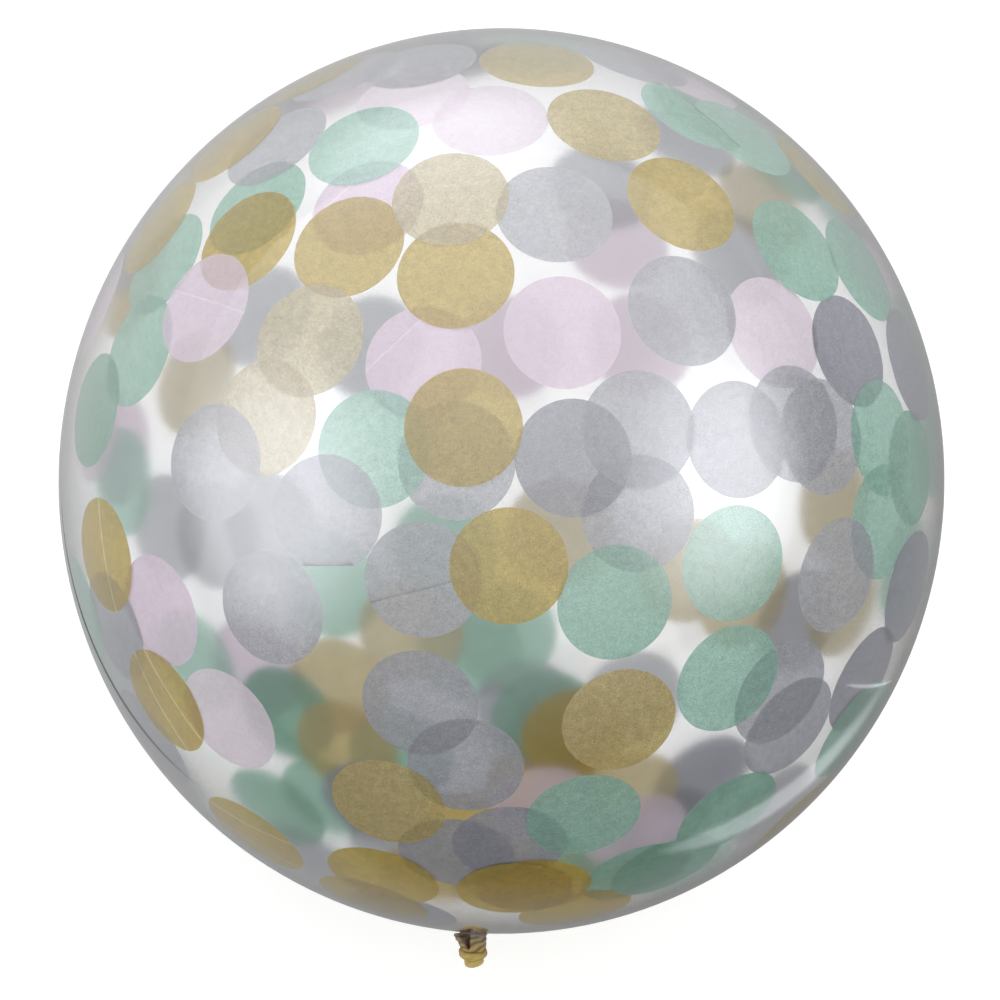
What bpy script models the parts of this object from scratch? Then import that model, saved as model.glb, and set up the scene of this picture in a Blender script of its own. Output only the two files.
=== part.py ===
"""A round party balloon of clear latex, blown up, tied in its own neck and lying on its side.

The balloon is one moulded piece of latex: the ball, the waist where a ribbon is tied, and the
neck, which is twisted tight and rolled into a knot. It is sealed, so it is modelled solid.

Metres, +Z up. The origin is the middle of the small flat spot that the ball rests on. The ball's
crown points along +Y, and its tied neck along -Y.
"""

import math

import bmesh
import bpy

# The blown ball, a little longer from crown to neck than it is wide
BALL_WIDTH = 0.600
BALL_LENGTH = 0.6135
FLAT_SPOT_WIDTH = 0.080

# The waist between ball and knot, where a ribbon goes round
WAIST_WIDTH = 0.0174
WAIST_LENGTH = 0.0010
WAIST_FILLET = 0.0012

# The knot: the twisted neck's pleated collar, the roll below it and the rolled mouth
COLLAR_WIDTH = 0.0180
COLLAR_LENGTH = 0.0086
ROLL_WIDTH = 0.0197
ROLL_LENGTH = 0.0074
ROLL_ROUNDING = 0.0028
MOUTH_WIDTH = 0.0126
MOUTH_LENGTH = 0.0050
MOUTH_ROUND_SHARE = 0.7
MOUTH_OFFSET = 0.0016
SHOULDER_LENGTH = 0.0016

# The collar's lip, where the neck was turned through itself, and the pocket that it leaves open
LIP_REACH = 0.0048
POCKET_DEPTH = 0.0030
POCKET_PLACE = math.radians(125)
POCKET_WIDTH = math.radians(80)

# The pleats of the twist wind round the collar, and the whole knot leans away from its front
PLEATS = 5
PLEAT_SPACING = 0.0034
PLEAT_DEPTH = 0.0004
KNOT_LEAN = math.radians(20)

# Fineness of the faces
SEGMENTS_AROUND = 64
RINGS_ON_BALL = 40
RINGS_ON_FILLET = 4
RING_SPACING_ON_KNOT = 0.0009
ENDS_MERGE_WITHIN = 0.000001

BALL_RADIUS = BALL_WIDTH / 2
HALF_LENGTH = BALL_LENGTH / 2
AXIS_HEIGHT = math.sqrt(BALL_RADIUS**2 - (FLAT_SPOT_WIDTH / 2) ** 2)
KNOT_LENGTH = COLLAR_LENGTH + ROLL_LENGTH + MOUTH_LENGTH


def eased(share):
    """Goes smoothly from 0 to 1 as share goes from 0 to 1."""
    share = min(max(share, 0.0), 1.0)
    return share * share * (3.0 - 2.0 * share)


def ball_profile():
    """Points (distance from the axis, place along it) from the crown to the top of the waist."""
    opening = WAIST_WIDTH / 2 + WAIST_FILLET
    last_angle = math.pi - math.asin(opening / BALL_RADIUS)
    angles = [last_angle * ring / RINGS_ON_BALL for ring in range(RINGS_ON_BALL + 1)]
    return [(BALL_RADIUS * math.sin(angle), HALF_LENGTH * math.cos(angle)) for angle in angles]


def waist_profile(start):
    """The concave fillet from the ball into the waist, then the waist, below the point start."""
    radius, top = start
    points = []
    for ring in range(1, RINGS_ON_FILLET + 1):
        angle = math.pi / 2 * ring / RINGS_ON_FILLET
        inward = WAIST_FILLET * math.sin(angle)
        down = WAIST_FILLET * (1.0 - math.cos(angle))
        points.append((radius - inward, top - down))
    return points + [(WAIST_WIDTH / 2, top - WAIST_FILLET - WAIST_LENGTH)]


def knot_radius(depth):
    """The knot's radius at this depth below the waist, before its lip, pocket and pleats."""
    if depth < COLLAR_LENGTH:
        in_collar = eased(depth / SHOULDER_LENGTH)
        return (WAIST_WIDTH + (COLLAR_WIDTH - WAIST_WIDTH) * in_collar) / 2
    if depth < COLLAR_LENGTH + ROLL_LENGTH:
        off_middle = 2.0 * (depth - COLLAR_LENGTH) / ROLL_LENGTH - 1.0
        return ROLL_WIDTH / 2 - ROLL_ROUNDING * (1.0 - math.sqrt(1.0 - off_middle**2))
    rounding = max(0.0, 1.0 - (KNOT_LENGTH - depth) / (MOUTH_LENGTH * MOUTH_ROUND_SHARE))
    return MOUTH_WIDTH / 2 * math.sqrt(max(0.0, 1.0 - rounding**2))


def knot_profile(start):
    """The knot from the waist's lower end to the middle of the mouth."""
    rings = round(KNOT_LENGTH / RING_SPACING_ON_KNOT)
    depths = [KNOT_LENGTH * ring / rings for ring in range(1, rings + 1)]
    return [(knot_radius(depth), start[1] - depth) for depth in depths]


def collar_relief(depth, angle):
    """How far the collar's surface stands out here: its lip, less its pocket, and its pleats."""
    down = depth / COLLAR_LENGTH
    fade = eased(depth / SHOULDER_LENGTH) * (1.0 - eased(down))
    lip = LIP_REACH * max(0.0, -math.cos(angle)) ** 2
    off_pocket = min(1.0, abs(angle - POCKET_PLACE) / (POCKET_WIDTH / 2))
    pocket = POCKET_DEPTH * (1.0 - eased(off_pocket))
    phase = depth / PLEAT_SPACING - PLEATS * angle / math.tau
    pleat = PLEAT_DEPTH * math.cos(math.tau * phase)
    return (lip - pocket) * fade + pleat * eased(depth / SHOULDER_LENGTH) * eased(4.0 - 4.0 * down)


def shape_knot(mesh, knot_top):
    """Gives the turned knot its collar's relief, its lean and its slanting mouth."""
    for vertex in mesh.verts:
        depth = knot_top - vertex.co.y
        radius = math.hypot(vertex.co.x, vertex.co.z)
        if depth <= 0.0:
            continue
        if radius > ENDS_MERGE_WITHIN:
            scale = 1.0 + collar_relief(depth, math.atan2(vertex.co.z, vertex.co.x)) / radius
            vertex.co.x *= scale
            vertex.co.z *= scale
        in_mouth = eased((depth - COLLAR_LENGTH) / (KNOT_LENGTH - COLLAR_LENGTH))
        lean = math.tan(KNOT_LEAN)
        vertex.co.y -= lean * vertex.co.z * eased(depth / COLLAR_LENGTH)
        vertex.co.y += lean * vertex.co.x * in_mouth
        vertex.co.x += MOUTH_OFFSET * in_mouth
        vertex.co.z -= lean * depth * eased(depth / COLLAR_LENGTH)


def spin_round_axis(mesh, profile):
    """Turns the profile once round the Y axis, and closes it at the crown and the mouth."""
    points = [mesh.verts.new((radius, along, 0.0)) for radius, along in profile]
    edges = [mesh.edges.new(pair) for pair in zip(points, points[1:])]
    bmesh.ops.spin(
        mesh,
        geom=points + edges,
        cent=(0.0, 0.0, 0.0),
        axis=(0.0, 1.0, 0.0),
        angle=math.tau,
        steps=SEGMENTS_AROUND,
        use_merge=True,
    )
    bmesh.ops.remove_doubles(mesh, verts=mesh.verts, dist=ENDS_MERGE_WITHIN)


def cut_flat_spot(mesh):
    """Flattens the ball where it rests, AXIS_HEIGHT below its axis."""
    cut = bmesh.ops.bisect_plane(
        mesh,
        geom=mesh.verts[:] + mesh.edges[:] + mesh.faces[:],
        plane_co=(0.0, 0.0, -AXIS_HEIGHT),
        plane_no=(0.0, 0.0, -1.0),
        clear_outer=True,
    )
    rim = [item for item in cut["geom_cut"] if isinstance(item, bmesh.types.BMEdge)]
    bmesh.ops.contextual_create(mesh, geom=rim)


def latex(name, colour, roughness, transmission):
    """A Principled material for one state of the latex."""
    material = bpy.data.materials.new(name)
    material.use_nodes = True
    shader = material.node_tree.nodes["Principled BSDF"]
    shader.inputs["Base Color"].default_value = (*colour, 1.0)
    shader.inputs["Metallic"].default_value = 0.0
    shader.inputs["Roughness"].default_value = roughness
    shader.inputs["Transmission Weight"].default_value = transmission
    return material


def make_balloon():
    """The ball, the waist and the knot as one solid, resting on its flat spot."""
    profile = ball_profile()
    profile += waist_profile(profile[-1])
    knot_top = profile[-1][1]
    profile += knot_profile(profile[-1])

    mesh = bmesh.new()
    spin_round_axis(mesh, profile)
    shape_knot(mesh, knot_top)
    cut_flat_spot(mesh)
    bmesh.ops.recalc_face_normals(mesh, faces=mesh.faces)
    for face in mesh.faces:
        face.material_index = int(face.calc_center_median().y < knot_top)

    data = bpy.data.meshes.new("balloon")
    mesh.to_mesh(data)
    mesh.free()
    data.materials.append(latex("clear_stretched_latex", (0.90, 0.91, 0.92), 0.15, 0.95))
    data.materials.append(latex("unstretched_latex", (0.42, 0.30, 0.11), 0.45, 0.0))
    data.shade_smooth()
    data.set_sharp_from_angle(angle=math.radians(40))

    balloon = bpy.data.objects.new("balloon", data)
    balloon.location = (0.0, 0.0, AXIS_HEIGHT)
    bpy.context.scene.collection.objects.link(balloon)


for old in list(bpy.data.objects):
    bpy.data.objects.remove(old)
make_balloon()
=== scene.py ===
"""A large clear party balloon with round tissue confetti inside, lying on its side.

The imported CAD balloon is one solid. Here a thin blown skin and a rolled neck replace it, and the
confetti that is sealed inside is added. Metres, +Z up, +Y from the tied neck to the crown.
"""

import math
import random

import bpy
from mathutils import Matrix, Vector


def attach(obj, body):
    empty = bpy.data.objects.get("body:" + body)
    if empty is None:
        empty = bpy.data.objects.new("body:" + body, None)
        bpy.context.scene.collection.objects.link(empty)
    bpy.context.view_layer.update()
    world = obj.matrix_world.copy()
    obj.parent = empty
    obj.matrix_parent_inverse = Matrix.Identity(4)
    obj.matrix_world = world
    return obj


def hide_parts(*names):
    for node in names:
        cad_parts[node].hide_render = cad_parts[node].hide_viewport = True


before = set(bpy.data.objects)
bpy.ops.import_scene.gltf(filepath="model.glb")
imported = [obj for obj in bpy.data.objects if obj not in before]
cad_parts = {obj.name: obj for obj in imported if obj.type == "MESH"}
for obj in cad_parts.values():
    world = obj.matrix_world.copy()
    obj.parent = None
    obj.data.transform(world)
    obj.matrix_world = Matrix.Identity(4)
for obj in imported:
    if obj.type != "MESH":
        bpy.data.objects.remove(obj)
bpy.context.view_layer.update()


# The blown skin. Clear natural latex, dipped on a form and stretched by the air in it until it is
# about a tenth of a millimetre thick, modelled as a closed wall of three tenths. It rests on a
# small flat place under the ball.
BALL_RADIUS = 0.300
HALF_LENGTH = 0.30675
FLAT_SPOT_RADIUS = 0.040
FLAT_SPOT_RINGS = (0.004, 0.016)
SEGMENTS_AROUND = 128
RINGS_ALONG = 96
AXIS_HEIGHT = math.sqrt(BALL_RADIUS**2 - FLAT_SPOT_RADIUS**2)
SKIN_THICKNESS = 0.0003
BALL_MIDDLE = Vector((0.0, 0.0, AXIS_HEIGHT))


def deselect_all():
    """Deselects everything, so that the next operator meets only what is made or picked for it."""
    bpy.ops.object.select_all(action="DESELECT")


def only(piece):
    """Makes this piece the one that the next operators work on."""
    deselect_all()
    piece.select_set(True)
    bpy.context.view_layer.objects.active = piece


def finish_modifier(piece, modifier):
    """Applies a modifier to its piece."""
    only(piece)
    bpy.ops.object.modifier_apply(modifier=modifier.name)


def blow_ball(name):
    """The ball as one closed surface, longer from neck to crown, with its flat spot."""
    deselect_all()
    bpy.ops.mesh.primitive_uv_sphere_add(segments=SEGMENTS_AROUND, ring_count=RINGS_ALONG,
                                         radius=BALL_RADIUS, rotation=(math.pi / 2, 0.0, 0.0))
    ball = bpy.context.object
    ball.name = name
    ball.scale = (1.0, 1.0, HALF_LENGTH / BALL_RADIUS)
    ball.location = BALL_MIDDLE
    bpy.ops.object.transform_apply(location=True, rotation=True, scale=True)
    bpy.ops.object.mode_set(mode="EDIT")
    bpy.ops.mesh.select_all(action="SELECT")
    bpy.ops.mesh.bisect(plane_co=(0.0, 0.0, 0.0), plane_no=(0.0, 0.0, -1.0),
                        use_fill=True, clear_outer=True)
    for width in FLAT_SPOT_RINGS:
        bpy.ops.mesh.inset(thickness=width)
    bpy.ops.object.mode_set(mode="OBJECT")
    bpy.ops.object.shade_smooth()
    return ball


skin = blow_ball("latex_skin")
# The same form again, for the confetti to be pressed on, and removed once that is done
confetti_form = blow_ball("confetti_form")

wall = skin.modifiers.new("wall", "SOLIDIFY")
wall.thickness = SKIN_THICKNESS
wall.offset = -1.0
finish_modifier(skin, wall)


def linear(hex_colour):
    """An sRGB hex colour as the linear RGBA that a shader socket takes."""
    channels = [int(hex_colour[i:i + 2], 16) / 255 for i in (1, 3, 5)]
    return (*[c / 12.92 if c <= 0.04045 else ((c + 0.055) / 1.055) ** 2.4 for c in channels], 1.0)


def add_node(tree, kind, settings=None, **inputs):
    """Adds a node with its settings, and gives each named input a value or a link."""
    node = tree.nodes.new(kind)
    for key, value in (settings or {}).items():
        setattr(node, key, value)
    for key, value in inputs.items():
        socket = node.inputs[int(key[1:]) if key[1:].isdigit() else key.replace("_", " ")]
        if isinstance(value, bpy.types.NodeSocket):
            tree.links.new(value, socket)
        else:
            socket.default_value = value
    return node


def new_material(name):
    """An empty node material and its output."""
    material = bpy.data.materials.new(name)
    material.use_nodes = True
    material.node_tree.nodes.clear()
    return material, material.node_tree, add_node(material.node_tree, "ShaderNodeOutputMaterial")


# Stretched clear latex: rubber whose fine haze blurs what lies far behind it, grey where the eye
# looks along it at the ball's rim, gathered in fine rays at the neck and specked with dust
# The rays' number, and the places along the balloon where they fade and where they are full
RAYS = 34.0
RAYS_FADE_AT = -0.2975
RAYS_FULL_AT = -0.3065
# Dust about 9 mm apart, with each speck's edge and core as shares of that
DUST_PER_METRE = 110.0
SPECK_EDGE, SPECK_CORE = 0.045, 0.02
PLAIN_HAZE = 0.012


def stretched_latex():
    material, tree, output = new_material("stretched_clear_latex")
    place = add_node(tree, "ShaderNodeTexCoord").outputs["Object"]
    facing = add_node(tree, "ShaderNodeLayerWeight", Blend=0.5).outputs["Facing"]
    rim = add_node(tree, "ShaderNodeMapRange", {"interpolation_type": "SMOOTHSTEP"},
                   i0=facing, i1=0.82, i2=1.0).outputs["Result"]
    tint = add_node(tree, "ShaderNodeMix", {"data_type": "RGBA"}, i0=rim,
                    i6=linear("#FCFCFD"), i7=linear("#B8B4BC")).outputs[2]
    xyz = add_node(tree, "ShaderNodeSeparateXYZ", i0=place)
    height = add_node(tree, "ShaderNodeMath", {"operation": "SUBTRACT"}, i0=xyz.outputs["Z"],
                      i1=AXIS_HEIGHT)
    angle = add_node(tree, "ShaderNodeMath", {"operation": "ARCTAN2"}, i0=height.outputs[0],
                     i1=xyz.outputs["X"]).outputs[0]
    many = add_node(tree, "ShaderNodeMath", {"operation": "MULTIPLY"}, i0=angle, i1=RAYS).outputs[0]
    rays = add_node(tree, "ShaderNodeMath", {"operation": "SINE"}, i0=many).outputs[0]
    by_neck = add_node(tree, "ShaderNodeMapRange", {"interpolation_type": "SMOOTHSTEP"},
                       i0=xyz.outputs["Y"], i1=RAYS_FADE_AT, i2=RAYS_FULL_AT).outputs[0]
    gathers = add_node(tree, "ShaderNodeMath", {"operation": "MULTIPLY"}, i0=rays,
                       i1=by_neck).outputs[0]
    bump = add_node(tree, "ShaderNodeBump", Strength=0.5, Distance=0.0004, Height=gathers)
    latex = add_node(tree, "ShaderNodeBsdfPrincipled", Base_Color=tint, Roughness=0.075, IOR=1.52,
                     Specular_IOR_Level=0.75, Transmission_Weight=1.0, Coat_Weight=0.6,
                     Coat_Roughness=0.02, Normal=bump.outputs[0])
    dust = add_node(tree, "ShaderNodeTexVoronoi", Vector=place, Scale=DUST_PER_METRE)
    speck = add_node(tree, "ShaderNodeMapRange", i0=dust.outputs["Distance"], i1=SPECK_EDGE,
                     i2=SPECK_CORE).outputs[0]
    haze_share = add_node(tree, "ShaderNodeMath", {"operation": "MAXIMUM"}, i0=speck,
                          i1=PLAIN_HAZE).outputs[0]
    haze = add_node(tree, "ShaderNodeBsdfTranslucent", Color=linear("#F2F1F4"))
    hazy = add_node(tree, "ShaderNodeMixShader", i0=haze_share, i1=latex.outputs[0],
                    i2=haze.outputs[0])
    tree.links.new(hazy.outputs[0], output.inputs["Surface"])
    return material


skin.data.materials.clear()
skin.data.materials.append(stretched_latex())
# Light that has met the paper or the floor goes straight through so thin a skin
skin.visible_diffuse = skin.visible_shadow = False
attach(skin, "root")
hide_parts("balloon")


# The tied neck. The same latex, hardly stretched and so tan and nearly opaque: gathered under the
# ball, twisted, turned through itself and rolled up into a knot, which its own stretch holds.
WAIST_RADIUS = 0.0087
WAIST_FLARE = 0.0030
WAIST_TOP = -0.3062
KNOT_TOP = -0.30877
# The neck's closed start inside the ball, as rises above the waist and radii
START_RISE, START_RADIUS = 0.0030, 0.0078
NEXT_RISE, NEXT_RADIUS = 0.0005, 0.0086
COLLAR_LENGTH = 0.0086
COLLAR_RADIUS = 0.0090
SHOULDER_LENGTH = 0.0016
ROLL_LENGTH = 0.0062
ROLL_RADIUS = 0.00985
ROLL_ROUNDING = 0.0032
MOUTH_LENGTH = 0.0062
MOUTH_RADIUS = 0.0066
MOUTH_ROUND_SHARE = 0.40
MOUTH_MIDDLE_RADIUS = 0.0002
MOUTH_OFFSET = 0.0016
KNOT_LENGTH = COLLAR_LENGTH + ROLL_LENGTH + MOUTH_LENGTH
KNOT_LEAN = math.tan(math.radians(20))
MOUTH_SLANT = 0.6 * KNOT_LEAN
NECK_RINGS = 62
# The lip where the neck was turned through itself, and the hollow that it leaves open beside it
LIP_REACH = 0.0048
LIP_EDGE = 0.0010
HOLLOW_DEPTH = 0.0045
HOLLOW_PLACE = math.radians(135)
HOLLOW_WIDTH = math.radians(84)
HOLLOW_SLANT = math.radians(26)
COLLAR_RISE = 0.0014
COLLAR_EDGE = 0.0012
# The folds of the twist, which begin just above the knot and fade out before the mouth
FOLD_SPACING = 0.0036
FOLD_STARTS = 5
FOLD_DEPTH = 0.0007
FOLD_WOBBLE = 0.12
FOLD_RISE = 0.0004
FOLD_FADE = 0.0010
FOLDS_END = 0.004
FOLDS_END_FADE = 0.003
SEAM_WIDTH = 0.0007
UNFOLDED_RADIUS = 0.0025
# The fine gathers of the waist
GATHERS = 30
GATHER_DEPTH = 0.0002
GATHER_FADE = 0.0012


def eased(share):
    """Goes smoothly from 0 to 1 as share goes from 0 to 1."""
    share = min(max(share, 0.0), 1.0)
    return share * share * (3.0 - 2.0 * share)


def neck_radius(depth):
    """The twisted neck's radius at this depth below the waist, before its lip and folds."""
    if depth < 0.0:
        return WAIST_RADIUS + WAIST_FLARE * (-depth / (WAIST_TOP - KNOT_TOP)) ** 3
    if depth < COLLAR_LENGTH:
        return WAIST_RADIUS + (COLLAR_RADIUS - WAIST_RADIUS) * eased(depth / SHOULDER_LENGTH)
    if depth < COLLAR_LENGTH + ROLL_LENGTH:
        off_middle = 2.0 * (depth - COLLAR_LENGTH) / ROLL_LENGTH - 1.0
        return ROLL_RADIUS - ROLL_ROUNDING * (1.0 - math.sqrt(1.0 - off_middle**2))
    rounding = max(0.0, 1.0 - (KNOT_LENGTH - depth) / (MOUTH_LENGTH * MOUTH_ROUND_SHARE))
    return MOUTH_RADIUS * math.sqrt(max(0.0, 1.0 - rounding**2))


def turn_neck():
    """The neck as one closed skin of rings, extruded down from inside the ball to the mouth."""
    deselect_all()
    here, wide = WAIST_TOP + START_RISE, START_RADIUS
    bpy.ops.mesh.primitive_circle_add(vertices=SEGMENTS_AROUND, radius=wide, fill_type="TRIFAN",
                                      rotation=(math.pi / 2, 0.0, 0.0),
                                      location=(0.0, here, AXIS_HEIGHT))
    neck = bpy.context.object
    neck.name = "neck_knot"
    bpy.ops.object.transform_apply(location=True, rotation=True, scale=True)
    first = KNOT_TOP - WAIST_TOP
    depths = [first + (KNOT_LENGTH - first) * n / NECK_RINGS for n in range(NECK_RINGS + 1)]
    rings = [(WAIST_TOP + NEXT_RISE, NEXT_RADIUS)]
    rings += [(KNOT_TOP - depth, neck_radius(depth)) for depth in depths]
    bpy.ops.object.mode_set(mode="EDIT")
    bpy.ops.mesh.select_all(action="SELECT")
    bpy.ops.mesh.region_to_loop()
    for along, radius in rings:
        bpy.ops.mesh.extrude_edges_move(TRANSFORM_OT_translate={"value": (0.0, along - here, 0.0)})
        radius = max(radius, MOUTH_MIDDLE_RADIUS)
        bpy.ops.transform.resize(value=(radius / wide, 1.0, radius / wide),
                                 center_override=(0.0, along, AXIS_HEIGHT))
        here, wide = along, radius
    bpy.ops.mesh.merge(type="CENTER")
    bpy.ops.mesh.select_all(action="SELECT")
    bpy.ops.mesh.normals_make_consistent(inside=False)
    bpy.ops.object.mode_set(mode="OBJECT")
    bpy.ops.object.shade_smooth()
    return neck


def lip_and_hollow(depth, angle):
    """How far the collar's lip stands out here, and how deep this is in the hollow, from 0 to 1."""
    down = depth / COLLAR_LENGTH
    lip = LIP_REACH * max(0.0, -math.cos(angle)) ** 3
    lip *= eased((depth + COLLAR_RISE) / LIP_EDGE) * (1.0 - eased(down))
    half_width = HOLLOW_WIDTH / 2 * max(0.1, 1.0 - 0.8 * max(down, 0.0))
    off_hollow = min(1.0, abs(angle - HOLLOW_PLACE + HOLLOW_SLANT * down) / half_width)
    on_collar = eased((depth + COLLAR_RISE) / COLLAR_EDGE) * (1.0 - eased((down - 0.55) / 0.45))
    return lip, (1.0 - eased(off_hollow)) * on_collar


def twist_fold(depth, angle):
    """How deep this is in a fold of the twisted neck, from 0 to 1."""
    turn = depth / FOLD_SPACING - FOLD_STARTS * angle / math.tau
    turn += FOLD_WOBBLE * math.sin(3.0 * angle + 900.0 * depth)
    twisted = eased((depth + FOLD_RISE) / FOLD_FADE)
    twisted *= 1.0 - 0.7 * eased((depth - COLLAR_LENGTH) / FOLD_FADE)
    twisted *= 1.0 - eased((depth - KNOT_LENGTH + FOLDS_END) / FOLDS_END_FADE)
    return abs(math.cos(math.pi * turn)) ** 3 * twisted


def waist_gather(depth, angle):
    """How deep this is in a gather of the waist, from 0 to 1."""
    gather = 0.5 + 0.5 * math.cos(GATHERS * angle + 1.5 * math.sin(2.0 * angle))
    return gather * (1.0 - eased((depth + GATHER_FADE) / GATHER_FADE))


def lean(vertex, depth):
    """Leans the knot away from its front, and slants and shifts its mouth."""
    in_mouth = eased((depth - COLLAR_LENGTH) / (KNOT_LENGTH - COLLAR_LENGTH))
    leaning = KNOT_LEAN * eased(depth / COLLAR_LENGTH)
    vertex.co.y -= leaning * (vertex.co.z - AXIS_HEIGHT)
    vertex.co.y += MOUTH_SLANT * vertex.co.x * in_mouth
    vertex.co.x += MOUTH_OFFSET * in_mouth
    vertex.co.z -= leaning * depth


def fold_neck(neck):
    """Gives the neck its gathers, twisted folds, lip and hollow, and leans it, and marks how much
    painted shade each point gets in its folds, gathers and seams and in the hollow."""
    fold_shade = neck.data.attributes.new("fold_shade", "FLOAT", "POINT")
    hollow_shade = neck.data.attributes.new("hollow_shade", "FLOAT", "POINT")
    for number, vertex in enumerate(neck.data.vertices):
        across, up = vertex.co.x, vertex.co.z - AXIS_HEIGHT
        depth = KNOT_TOP - vertex.co.y
        radius, angle = math.hypot(across, up), math.atan2(up, across)
        lip, hollow = lip_and_hollow(depth, angle)
        fold, gather = twist_fold(depth, angle), waist_gather(depth, angle)
        move = lip - HOLLOW_DEPTH * hollow - FOLD_DEPTH * fold - GATHER_DEPTH * gather
        if radius > UNFOLDED_RADIUS:
            vertex.co.x += across / radius * move
            vertex.co.z += up / radius * move
        # Painted shade: darker in the folds, the gathers and the seams between collar, roll and mouth
        off_seam = min(abs(depth - COLLAR_LENGTH), abs(depth - COLLAR_LENGTH - ROLL_LENGTH))
        seam = 1.0 - eased(off_seam / SEAM_WIDTH)
        fold_shade.data[number].value = max(0.7 * fold, 0.5 * gather, seam)
        hollow_shade.data[number].value = hollow
        if depth > 0.0:
            lean(vertex, depth)


# Unstretched natural latex: thick tan rubber, dipped and dried, satin and nearly opaque,
# grey-brown where it is gathered and more yellow where it is rolled up, with painted shade that
# makes its folds, gathers and seams darker and its hollow nearly black-brown
GATHERED_END, MOUTH_END = -0.3070, -0.3290
MOTTLES_PER_METRE = 900.0
GATHERED_COLOUR, MOUTH_COLOUR = "#83766E", "#C2AF62"
COLOURS_BETWEEN = ((0.06, "#857870"), (0.16, "#8E7D62"), (0.40, "#A08A58"), (0.62, "#A8904C"),
                   (0.80, "#BAA455"))


def unstretched_latex():
    material, tree, output = new_material("unstretched_tan_latex")
    place = add_node(tree, "ShaderNodeTexCoord").outputs["Object"]
    along = add_node(tree, "ShaderNodeSeparateXYZ", i0=place).outputs["Y"]
    to_mouth = add_node(tree, "ShaderNodeMapRange", i0=along, i1=GATHERED_END,
                        i2=MOUTH_END).outputs[0]
    ramp = add_node(tree, "ShaderNodeValToRGB", i0=to_mouth)
    stops = ramp.color_ramp.elements
    stops[0].position, stops[0].color = 0.0, linear(GATHERED_COLOUR)
    stops[1].position, stops[1].color = 1.0, linear(MOUTH_COLOUR)
    for at, colour in COLOURS_BETWEEN:
        stop = stops.new(at)
        stop.color = linear(colour)
    mottle = add_node(tree, "ShaderNodeTexNoise", Vector=place, Scale=MOTTLES_PER_METRE,
                      Detail=3.0)
    fold = add_node(tree, "ShaderNodeAttribute", {"attribute_name": "fold_shade"}).outputs["Fac"]
    hollow = add_node(tree, "ShaderNodeAttribute", {"attribute_name": "hollow_shade"}).outputs["Fac"]
    # Painted shade in the folds, gathers and seams
    folded = add_node(tree, "ShaderNodeMix", {"data_type": "RGBA", "blend_type": "MULTIPLY"}, i0=fold,
                      i6=ramp.outputs[0], i7=linear("#826A3E")).outputs[2]
    mottled = add_node(tree, "ShaderNodeMix", {"data_type": "RGBA", "blend_type": "OVERLAY"}, i0=0.25,
                       i6=folded, i7=mottle.outputs["Color"]).outputs[2]
    # Painted shade in the hollow beside the lip, nearly black-brown
    dark = add_node(tree, "ShaderNodeMapRange", i0=hollow, i1=0.10, i2=0.45).outputs[0]
    colour = add_node(tree, "ShaderNodeMix", {"data_type": "RGBA"}, i0=dark, i6=mottled,
                      i7=linear("#46301A")).outputs[2]
    bump = add_node(tree, "ShaderNodeBump", Strength=0.3, Distance=0.0002, Height=mottle.outputs[0])
    rubber = add_node(tree, "ShaderNodeBsdfPrincipled", Base_Color=colour, Roughness=0.42, IOR=1.52,
                      Normal=bump.outputs[0])
    tree.links.new(rubber.outputs[0], output.inputs["Surface"])
    return material


neck = turn_neck()
fold_neck(neck)
neck.data.materials.append(unstretched_latex())
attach(neck, "root")
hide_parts("balloon")


# Loose confetti. Discs punched from dyed tissue paper, three inches across, that cling by static
# to the inside of the skin, in overlapping layers, with a few creased, and more of them low down.
DISC_RADIUS = 0.03875
DISC_CORNERS = 40
RING_WIDTHS = [0.005] * 7
FIRST_LAYER_DEPTH = 0.0005
LAYER_SPACING = 0.0005

# The photograph fits a camera that looks straight down from 18 ball radii above the ball's middle,
# rolled a little. The ball's middle and radius in it are in pixels.
CAMERA_ABOVE = 18 * BALL_RADIUS
CAMERA_ROLL = math.radians(3.5)
BALL_MIDDLE_COLUMN, BALL_MIDDLE_ROW = 501.5, 481.0
BALL_RADIUS_PIXELS = 443.0
FOCAL_PIXELS = BALL_RADIUS_PIXELS * math.sqrt((CAMERA_ABOVE / BALL_RADIUS) ** 2 - 1.0)
RIGHT = Vector((math.cos(CAMERA_ROLL), math.sin(CAMERA_ROLL), 0.0))
UP = Vector((-math.sin(CAMERA_ROLL), math.cos(CAMERA_ROLL), 0.0))


def place_seen_at(column, row, far_side):
    """The place on the ball, from its middle, that the photograph shows at this column and row."""
    eye = Vector((0.0, 0.0, CAMERA_ABOVE))
    ray = (RIGHT * (column - BALL_MIDDLE_COLUMN) / FOCAL_PIXELS
           - UP * (row - BALL_MIDDLE_ROW) / FOCAL_PIXELS - Vector((0.0, 0.0, 1.0)))
    round_off = Vector((1 / BALL_RADIUS, 1 / HALF_LENGTH, 1 / BALL_RADIUS))
    start, along = eye * round_off, ray * round_off
    a, b, c = along.dot(along), start.dot(along), start.dot(start) - 1.0
    inside = b * b - a * c
    if inside < 0.0:
        nearest = (start - along * (b / a)).normalized()
        return Vector([n / r for n, r in zip(nearest, round_off)])
    reach = (-b + math.sqrt(inside) * (1 if far_side else -1)) / a
    return eye + ray * reach


def punch_disc():
    """One flat round of tissue, with rings of faces enough to bend."""
    deselect_all()
    bpy.ops.mesh.primitive_circle_add(vertices=DISC_CORNERS, radius=DISC_RADIUS, fill_type="NGON")
    disc = bpy.context.object
    disc.name = "punched_disc"
    bpy.ops.object.mode_set(mode="EDIT")
    bpy.ops.mesh.select_all(action="SELECT")
    for width in RING_WIDTHS:
        bpy.ops.mesh.inset(thickness=width)
    bpy.ops.mesh.poke()
    bpy.ops.object.mode_set(mode="OBJECT")
    bpy.ops.object.shade_smooth()
    return disc


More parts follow.
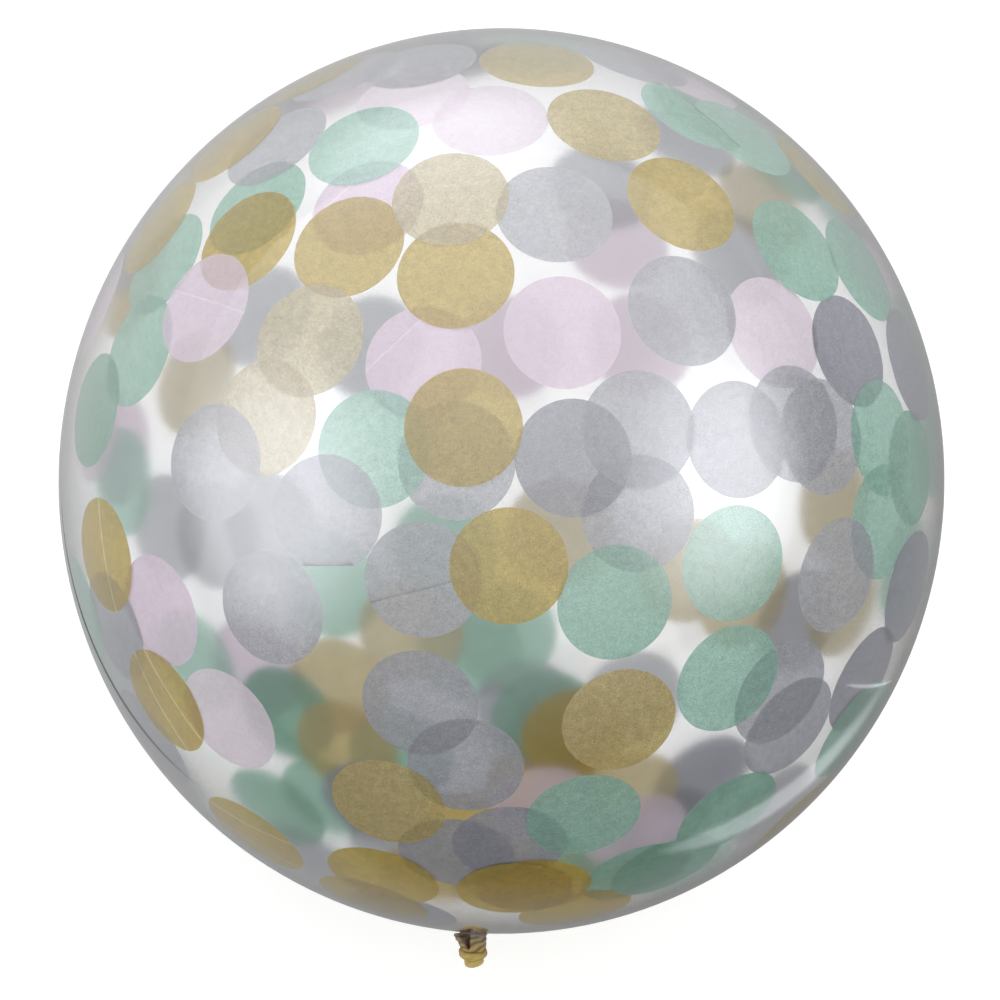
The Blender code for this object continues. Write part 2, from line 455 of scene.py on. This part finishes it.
CREASE_WIDTH = 0.0010
CREASE_HEIGHT = 0.0004
FOLD_GAP = 0.4 * LAYER_SPACING
ON_THE_FOLD = 0.000001
WRINKLE_SIZE = 0.022
WRINKLE_HEIGHT = 0.0005
punched_disc = punch_disc()
wrinkles = bpy.data.textures.new("tissue_wrinkles", "CLOUDS")
wrinkles.noise_scale = WRINKLE_SIZE
wrinkles.noise_depth = 1
laid_discs = []


def cut_along(paper, across, offset):
    """Cuts the paper along a plane near the ball's middle, which leaves a line of edges there."""
    only(paper)
    bpy.ops.object.mode_set(mode="EDIT")
    bpy.ops.mesh.select_all(action="SELECT")
    bpy.ops.mesh.bisect(plane_co=BALL_MIDDLE + across * offset, plane_no=across)
    bpy.ops.object.mode_set(mode="OBJECT")


def take_layer(place):
    """The outermost layer that is free for a disc at this place, which it then takes."""
    taken = {layer for other, layer in laid_discs if (other - place).length < 2 * DISC_RADIUS}
    layer = 0
    while layer in taken:
        layer += 1
    laid_discs.append((place.copy(), layer))
    return layer


def fold_under(paper, across):
    """Turns under what lies beyond a plane through the ball's middle, and returns its points."""
    cut_along(paper, across, 0.0)
    turned = set()
    for vertex in paper.data.vertices:
        beyond = (vertex.co - BALL_MIDDLE).dot(across)
        if beyond > ON_THE_FOLD:
            vertex.co -= across * 2.0 * beyond
            turned.add(vertex.index)
    return turned


def press_on(paper, layer):
    """Wraps the paper to the inner wall, this many layers deep, and ripples it a little."""
    wrap = paper.modifiers.new("cling", "SHRINKWRAP")
    wrap.target = confetti_form
    wrap.wrap_method = "NEAREST_SURFACEPOINT"
    wrap.wrap_mode = "ABOVE_SURFACE"
    wrap.offset = -(SKIN_THICKNESS + FIRST_LAYER_DEPTH + layer * LAYER_SPACING)
    ripple = paper.modifiers.new("ripple", "DISPLACE")
    ripple.texture = wrinkles
    ripple.texture_coords = "GLOBAL"
    ripple.strength = WRINKLE_HEIGHT
    ripple.mid_level = 0.5
    finish_modifier(paper, wrap)
    finish_modifier(paper, ripple)


def lay_disc(place, name, dye_and_shade, creases=(), folds=()):
    """A copy of the punched disc, pressed on the inner wall at this place, under those laid before.
    Creases and folds are pairs of places, and what is beyond a fold is turned under."""
    layer = take_layer(place)
    outward = Vector((place.x / BALL_RADIUS**2, place.y / HALF_LENGTH**2, place.z / BALL_RADIUS**2))
    outward.normalize()
    paper = punched_disc.copy()
    paper.data = punched_disc.data.copy()
    paper.name = name
    bpy.context.scene.collection.objects.link(paper)
    laid = outward.to_track_quat("Z", "Y").to_matrix().to_4x4()
    paper.data.transform(Matrix.Translation(BALL_MIDDLE + place) @ laid)
    lines = [first.cross(second).normalized() for first, second in creases]
    for across in lines:
        for offset in (-CREASE_WIDTH, 0.0, CREASE_WIDTH):
            cut_along(paper, across, offset)
    turned = set()
    for first, second in folds:
        across = first.cross(second).normalized()
        across *= -1.0 if across.dot(place) > 0.0 else 1.0
        turned |= fold_under(paper, across)
    press_on(paper, layer)
    # Each point keeps its disc's depth of colour, partly the paper's tone and partly painted shade
    # and highlight, and how sharp a crease is there
    dye_and_shade_depth = paper.data.attributes.new("dye_and_shade", "FLOAT", "POINT")
    crease = paper.data.attributes.new("crease", "FLOAT", "POINT")
    for number, vertex in enumerate(paper.data.vertices):
        off = min([abs((vertex.co - BALL_MIDDLE).dot(across)) for across in lines], default=1.0)
        sharp = max(0.0, 1.0 - off / CREASE_WIDTH)
        vertex.co -= outward * (CREASE_HEIGHT * sharp + (FOLD_GAP if number in turned else 0.0))
        dye_and_shade_depth.data[number].value = dye_and_shade
        crease.data[number].value = sharp
    return paper


# Clumps of fibres 5 mm across, and single fibres drawn 1 mm wide, coarser than real, to show
CLUMP_SIZE = 0.005
FIBRE_SIZE = 0.001


def tissue(name, pale_hex, deep_hex, crease_line_hex, clear_share, graininess):
    """Dyed tissue paper: thin, matt and fibrous, so light and the next disc's colour show through.
    Each disc's colour lies between a pale and a deep one by its own value: partly the paper's own
    tone, and partly painted shade, deeper towards the neck and the rim, and painted highlight, paler
    towards the crown. Along a crease the colour goes to a crease colour, for fibres that break there
    and as painted light and shade of the ridge."""
    material, tree, output = new_material(name)
    place = add_node(tree, "ShaderNodeTexCoord").outputs["Object"]
    dye_and_shade = add_node(tree, "ShaderNodeAttribute", {"attribute_name": "dye_and_shade"}).outputs["Fac"]
    crease = add_node(tree, "ShaderNodeAttribute", {"attribute_name": "crease"}).outputs["Fac"]
    clumps = add_node(tree, "ShaderNodeTexNoise", Vector=place, Scale=1 / CLUMP_SIZE, Detail=4.0,
                      Roughness=0.65)
    fibres = add_node(tree, "ShaderNodeTexNoise", Vector=place, Scale=1 / FIBRE_SIZE, Detail=1.0)
    cloud = add_node(tree, "ShaderNodeMapRange", i0=clumps.outputs[0], i1=0.3, i2=0.7,
                     i3=1.0 - graininess / 2, i4=1.0 + graininess / 2)
    grain = add_node(tree, "ShaderNodeMapRange", i0=fibres.outputs[0], i1=0.25, i2=0.75,
                     i3=1.0 - graininess, i4=1.0 + graininess)
    shade = add_node(tree, "ShaderNodeMath", {"operation": "MULTIPLY"}, i0=cloud.outputs[0],
                     i1=grain.outputs[0]).outputs[0]
    bump = add_node(tree, "ShaderNodeBump", Strength=0.3, Distance=0.00025, Height=clumps.outputs[0])
    # Pale to deep by each disc's value: partly the paper's tone, partly painted shade and highlight
    dyed_and_shaded = add_node(tree, "ShaderNodeMix", {"data_type": "RGBA"}, i0=dye_and_shade, i6=linear(pale_hex),
                    i7=linear(deep_hex)).outputs[2]
    # Along a crease the colour goes towards the crease colour: partly fibres that break there, partly
    # painted light and shade of the ridge
    crease_line_share = add_node(tree, "ShaderNodeMath", {"operation": "MULTIPLY"}, i0=crease, i1=0.9).outputs[0]
    crease_lined = add_node(tree, "ShaderNodeMix", {"data_type": "RGBA"}, i0=crease_line_share, i6=dyed_and_shaded,
                    i7=linear(crease_line_hex)).outputs[2]
    colour = add_node(tree, "ShaderNodeVectorMath", {"operation": "SCALE"}, i0=crease_lined,
                      Scale=shade).outputs[0]
    face = add_node(tree, "ShaderNodeBsdfDiffuse", Color=colour, Normal=bump.outputs[0])
    back = add_node(tree, "ShaderNodeBsdfTranslucent", Color=colour, Normal=bump.outputs[0])
    clear = add_node(tree, "ShaderNodeBsdfTransparent", Color=colour)
    solid = add_node(tree, "ShaderNodeMixShader", i0=0.42, i1=face.outputs[0], i2=back.outputs[0])
    sheer = add_node(tree, "ShaderNodeMixShader", i0=clear_share, i1=solid.outputs[0],
                     i2=clear.outputs[0])
    tree.links.new(sheer.outputs[0], output.inputs["Surface"])
    return material


# Where each disc's middle shows in the photograph, read off as column and row, the outermost first,
# with how deep its colour is: partly the paper's own tone, and partly painted shade, deeper towards
# the neck and the rim, and painted highlight, paler towards the crown
NEAR_PLACES = [
    ("lilac", 0.5, [(202, 307)]),
    ("gold", 0.1, [(450, 197), (308, 340)]),
    ("gold", 0.4, [(537, 61), (605, 122)]),
    ("gold", 0.6, [(819, 173)]),
    ("gold", 0.8, [(683, 202), (455, 274), (347, 245), (463, 428), (233, 141), (156, 224),
                   (312, 76)]),
    ("gold", 0.9, [(245, 239), (509, 568), (796, 817)]),
    ("gold", 0.6, [(620, 723), (387, 806)]),
    ("gold", 1.0, [(102, 556), (163, 703), (382, 880), (515, 893), (534, 891), (576, 914),
                   (253, 837), (372, 903)]),
    ("grey", 0.0, [(797, 424), (825, 437), (840, 577)]),
    ("mint", 0.2, [(362, 143), (695, 112), (745, 134), (373, 450), (735, 565)]),
    ("mint", 0.3, [(885, 438), (885, 523), (730, 681)]),
    ("mint", 0.5, [(161, 262), (254, 205), (135, 350), (799, 249), (863, 268), (616, 605),
                   (82, 610), (584, 819)]),
    ("mint", 0.8, [(92, 410), (915, 468), (853, 732), (864, 733), (729, 816), (638, 878),
                   (668, 870)]),
    ("grey", 0.1, [(419, 62), (274, 143), (343, 72), (635, 60), (555, 212), (740, 440), (325, 515),
                   (212, 463), (456, 462)]),
    ("grey", 0.3, [(270, 610), (422, 582), (640, 515), (684, 310), (640, 430), (783, 695)]),
    ("grey", 0.5, [(792, 730)]),
    ("grey", 0.8, [(574, 459)]),
    ("grey", 0.6, [(112, 628), (419, 706), (465, 769), (150, 740)]),
    ("grey", 0.7, [(455, 858), (510, 848)]),
    ("grey", 0.9, [(853, 350), (912, 364), (911, 588), (867, 682), (400, 914)]),
    ("gold", 0.0, [(263, 418)]),
    ("lilac", 0.1, [(412, 95), (490, 116), (226, 722)]),
    ("lilac", 0.2, [(777, 331)]),
    ("lilac", 0.6, [(688, 77), (366, 205), (422, 363), (563, 332), (156, 613), (97, 305)]),
]
FAR_PLACES = [
    # The heap low down near the neck, two and three deep, its deepest colours partly painted shade
    ("grey", 0.2, [(665, 828), (500, 880), (400, 850)]),
    ("gold", 0.8, [(470, 830), (540, 870), (430, 880), (620, 880)]),
    ("mint", 0.4, [(330, 800), (590, 850)]),
    ("lilac", 0.5, [(118, 450), (617, 240), (636, 835), (255, 668), (641, 343), (510, 345)]),
    ("grey", 0.0, [(262, 315), (370, 345), (740, 255), (688, 137), (166, 528), (216, 536),
                   (268, 524), (603, 184), (633, 700)]),
    ("grey", 0.6, [(800, 622), (527, 709)]),
    ("grey", 1.0, [(705, 780), (562, 732)]),
    ("gold", 0.3, [(628, 795)]),
    ("gold", 0.4, [(338, 688)]),
    ("mint", 0.0, [(119, 482)]),
    ("mint", 0.3, [(331, 585), (192, 662), (445, 547), (503, 635), (470, 650)]),
    ("mint", 0.8, [(275, 810), (400, 755), (545, 719)]),
    ("mint", 1.0, [(285, 715)]),
    ("gold", 1.0, [(540, 782), (575, 737)]),
    ("gold", 0.6, [(345, 748)]),
    ("grey", 0.5, [(372, 805)]),
    ("lilac", 0.5, [(544, 810)]),
    ("gold", 0.0, [(560, 530), (193, 382), (838, 504), (846, 605), (765, 203)]),
    ("gold", 0.1, [(690, 570), (745, 595)]),
    ("gold", 0.2, [(410, 632)]),
]
# Lines along which a disc is creased, and lines beyond which one is folded under, by its place
CREASES = {
    (422, 582): [((365, 605), (480, 575))],
    (163, 703): [((145, 655), (200, 740)), ((150, 690), (178, 738))],
    (253, 837): [((206, 800), (302, 850)), ((212, 815), (292, 866))],
    (102, 556): [((98, 510), (112, 600))],
    (366, 205): [((315, 215), (365, 172))],
    (202, 307): [((172, 290), (215, 303))],
    (422, 363): [((366, 370), (420, 320))],
}
FOLDS = {
    (325, 515): [((300, 567), (352, 567))],
    (695, 112): [((655, 80), (750, 155))],
}
# Each tissue's pale and deep colours, its crease colour, which is partly painted light and shade, its
# clear share and its graininess
TISSUES = {
    "gold": tissue("gold_tissue", "#D4CBB2", "#C4AB4E", "#F6ECC4", 0.30, 0.28),
    "mint": tissue("mint_tissue", "#BBDDD1", "#88B5A1", "#DCEEE6", 0.30, 0.22),
    "grey": tissue("grey_tissue", "#C5C6CC", "#A0A1AB", "#9A9CA2", 0.30, 0.22),
    "lilac": tissue("lilac_tissue", "#F0E6EF", "#E0CAE0", "#F8EEF8", 0.20, 0.10),
}
papers = {colour: [] for colour in TISSUES}


def lay_seen(colour, dye_and_shade, spot, far_side):
    """Lays one disc where the photograph shows it, with its creases and folds."""
    marks = [[[place_seen_at(*end, far_side) for end in line] for line in table.get(spot, [])]
             for table in (CREASES, FOLDS)]
    name = f"disc_{colour}_{len(papers[colour])}"
    papers[colour].append(lay_disc(place_seen_at(*spot, far_side), name, dye_and_shade, *marks))


for far_side, groups in ((False, NEAR_PLACES), (True, FAR_PLACES)):
    for colour, dye_and_shade, places in groups:
        for spot in places:
            lay_seen(colour, dye_and_shade, spot, far_side)

# The photograph doesn't show the band round the ball's widest part, so its discs are scattered
SIDE_DISCS = 26
# Their lowest and highest places, as shares of the ball's radius above its middle
LOWEST_SHARE, HIGHEST_SHARE = -0.32, 0.04
CLOSEST = 0.040
BARE_BY_NECK = -0.285
chance = random.Random(7)
scattered = 0
while scattered < SIDE_DISCS:
    turn = chance.uniform(0.0, math.tau)
    height = chance.uniform(LOWEST_SHARE, HIGHEST_SHARE)
    wide = math.sqrt(1.0 - height**2)
    place = Vector((BALL_RADIUS * wide * math.cos(turn), HALF_LENGTH * wide * math.sin(turn),
                    BALL_RADIUS * height))
    near = min((other - place).length for other, _ in laid_discs)
    if near < CLOSEST or place.y < BARE_BY_NECK:
        continue
    scattered += 1
    colour = chance.choice(("gold", "mint", "mint", "grey", "grey", "lilac"))
    name = f"disc_{colour}_{len(papers[colour])}"
    papers[colour].append(lay_disc(place, name, chance.uniform(0.2, 0.8)))

for colour, discs in papers.items():
    only(discs[0])
    for disc in discs:
        disc.select_set(True)
    bpy.ops.object.join()
    confetti = bpy.context.object
    confetti.name = f"confetti_{colour}"
    confetti.data.materials.clear()
    confetti.data.materials.append(TISSUES[colour])
    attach(confetti, "root")

bpy.data.objects.remove(punched_disc)
bpy.data.objects.remove(confetti_form)


# The studio: a big white sheet on the floor, a white tent round it that is brighter towards the
# crown, soft panels at both sides and behind the crown, and the camera overhead
def in_a_gloss(tree):
    """Gives 1 where the thing is seen as a reflection, and 0 where it is seen itself."""
    reflections = add_node(tree, "ShaderNodeLightPath").outputs["Glossy Depth"]
    return add_node(tree, "ShaderNodeMath", {"operation": "MINIMUM"}, i0=reflections,
                    i1=1.0).outputs[0]


deselect_all()
bpy.ops.mesh.primitive_plane_add(size=30.0, location=(0.0, 0.0, -0.0005))
floor = bpy.context.object
floor.name = "studio_floor"
material, tree, output = new_material("white_studio_sheet")
white = add_node(tree, "ShaderNodeBsdfDiffuse", Color=(0.80, 0.80, 0.80, 1.0))
glow = add_node(tree, "ShaderNodeEmission", Color=(1.0, 1.0, 1.0, 1.0), Strength=0.35)
lit = add_node(tree, "ShaderNodeAddShader", i0=white.outputs[0], i1=glow.outputs[0])
# A gloss shows the dim room and not the bright sheet
spot = add_node(tree, "ShaderNodeTexCoord").outputs["Object"]
crownward = add_node(tree, "ShaderNodeVectorMath", {"operation": "DOT_PRODUCT"}, i0=spot,
                     i1=(-0.60, 0.80, 0.0)).outputs["Value"]
dimness = add_node(tree, "ShaderNodeMapRange", i0=crownward, i1=-0.9, i2=0.9, i3=0.08,
                   i4=0.80).outputs[0]
dim = add_node(tree, "ShaderNodeEmission", Color=(1.0, 1.0, 1.0, 1.0), Strength=dimness)
shown = add_node(tree, "ShaderNodeMixShader", i0=in_a_gloss(tree), i1=lit.outputs[0],
                 i2=dim.outputs[0])
tree.links.new(shown.outputs[0], output.inputs["Surface"])
material.cycles.emission_sampling = "NONE"
floor.data.materials.append(material)

world = bpy.data.worlds.new("studio_tent")
world.use_nodes = True
tree = world.node_tree
direction = add_node(tree, "ShaderNodeTexCoord").outputs["Generated"]
towards = add_node(tree, "ShaderNodeVectorMath", {"operation": "DOT_PRODUCT"}, i0=direction,
                   i1=(0.0, 0.90, 0.44)).outputs["Value"]
bright = add_node(tree, "ShaderNodeMapRange", i0=towards, i1=-0.9, i2=0.75, i3=0.12,
                  i4=1.55).outputs[0]
tree.nodes["Background"].inputs["Color"].default_value = (1.0, 1.0, 1.0, 1.0)
# The dark side of the room comes down to the sheet without a line between them in the gloss
low_and_dark = add_node(tree, "ShaderNodeVectorMath", {"operation": "DOT_PRODUCT"}, i0=direction,
                        i1=(-0.75, 0.35, 1.0)).outputs["Value"]
dulled = add_node(tree, "ShaderNodeMapRange", {"interpolation_type": "SMOOTHSTEP"}, i0=low_and_dark,
                  i1=-0.75, i2=0.35, i3=0.14, i4=1.0).outputs[0]
seen = add_node(tree, "ShaderNodeMix", i0=in_a_gloss(tree), i2=1.0, i3=dulled).outputs[0]
shown = add_node(tree, "ShaderNodeMath", {"operation": "MULTIPLY"}, i0=bright, i1=seen).outputs[0]
tree.links.new(shown, tree.nodes["Background"].inputs["Strength"])
world.cycles.sampling_method = "NONE"
bpy.context.scene.world = world


PANEL_LIGHT = (0.94, 0.955, 1.0, 1.0)
# Each panel's name, middle, size and strength
PANELS = (
    ("crown_panel", (-0.30, 1.10, 0.42), (1.3, 1.1), 2.0),
    ("left_panel", (-1.60, -0.15, 1.40), (2.7, 2.6), 3.2),
    ("right_panel", (1.50, 0.12, 1.42), (2.6, 2.1), 3.2),
)
# Narrow strips lying by the ball, two lit and one dark, that draw lines along its lower edge: each
# one's name, start, end, width and strength
STRIPS = (
    ("lit_strip", (0.455, -0.14), (0.455, -0.90), 0.16, 0.8),
    ("thin_lit_strip", (0.38, -0.16), (0.84, -0.42), 0.008, 1.3),
    ("dark_strip", (-0.385, 0.00), (-0.385, -0.45), 0.02, 0.0),
)
STRIP_HEIGHT = 0.004
STRIP_CORE = 0.5


def soft_panel(name, location, facing, size, strength, core=0.25):
    """A panel with soft edges that shows only as a gloss on the ball, full bright in its core."""
    deselect_all()
    bpy.ops.mesh.primitive_plane_add(size=2.0, location=location)
    panel = bpy.context.object
    panel.name = name
    panel.scale = (size[0] / 2, size[1] / 2, 1.0)
    panel.rotation_euler = facing
    material, tree, output = new_material(name)
    local = add_node(tree, "ShaderNodeTexCoord").outputs["Object"]
    out = add_node(tree, "ShaderNodeVectorMath", {"operation": "LENGTH"}, i0=local).outputs["Value"]
    fade = add_node(tree, "ShaderNodeMapRange", {"interpolation_type": "SMOOTHSTEP"}, i0=out,
                    i1=core, i2=1.0, i3=1.0, i4=0.0).outputs[0]
    share = add_node(tree, "ShaderNodeMath", {"operation": "MULTIPLY"}, i0=fade,
                     i1=in_a_gloss(tree)).outputs[0]
    light = add_node(tree, "ShaderNodeEmission", Color=PANEL_LIGHT, Strength=strength)
    behind = add_node(tree, "ShaderNodeBsdfTransparent")
    shown = add_node(tree, "ShaderNodeMixShader", i0=share, i1=behind.outputs[0], i2=light.outputs[0])
    tree.links.new(shown.outputs[0], output.inputs["Surface"])
    material.cycles.emission_sampling = "NONE"
    panel.data.materials.append(material)
    panel.visible_camera = panel.visible_diffuse = panel.visible_shadow = False


for name, location, size, strength in PANELS:
    towards_ball = (BALL_MIDDLE - Vector(location)).to_track_quat("Z", "Y").to_euler()
    soft_panel(name, location, towards_ball, size, strength)
for name, start, end, width, strength in STRIPS:
    reach = Vector(end) - Vector(start)
    middle = (Vector(start) + Vector(end)) / 2
    turned = (0.0, 0.0, math.atan2(reach.y, reach.x))
    soft_panel(name, (middle.x, middle.y, STRIP_HEIGHT), turned, (reach.length, width), strength,
               STRIP_CORE)

PICTURE_PIXELS = 1000.0
SENSOR_WIDTH = 36.0
camera_data = bpy.data.cameras.new("camera")
camera_data.sensor_width = SENSOR_WIDTH
camera_data.lens = FOCAL_PIXELS * SENSOR_WIDTH / PICTURE_PIXELS
camera = bpy.data.objects.new("camera", camera_data)
bpy.context.scene.collection.objects.link(camera)
metres_per_pixel = CAMERA_ABOVE / FOCAL_PIXELS
aim = (BALL_MIDDLE - RIGHT * (BALL_MIDDLE_COLUMN - PICTURE_PIXELS / 2) * metres_per_pixel
       - UP * (PICTURE_PIXELS / 2 - BALL_MIDDLE_ROW) * metres_per_pixel)
camera.location = (aim.x, aim.y, AXIS_HEIGHT + CAMERA_ABOVE)
camera.rotation_euler = (0.0, 0.0, CAMERA_ROLL)
camera_data.clip_end = 100.0
bpy.context.scene.camera = camera

bpy.context.scene.view_settings.view_transform = "Standard"
bpy.context.scene.cycles.max_bounces = 14
bpy.context.scene.cycles.transmission_bounces = 12
bpy.context.scene.cycles.diffuse_bounces = 4
bpy.context.scene.cycles.transparent_max_bounces = 48
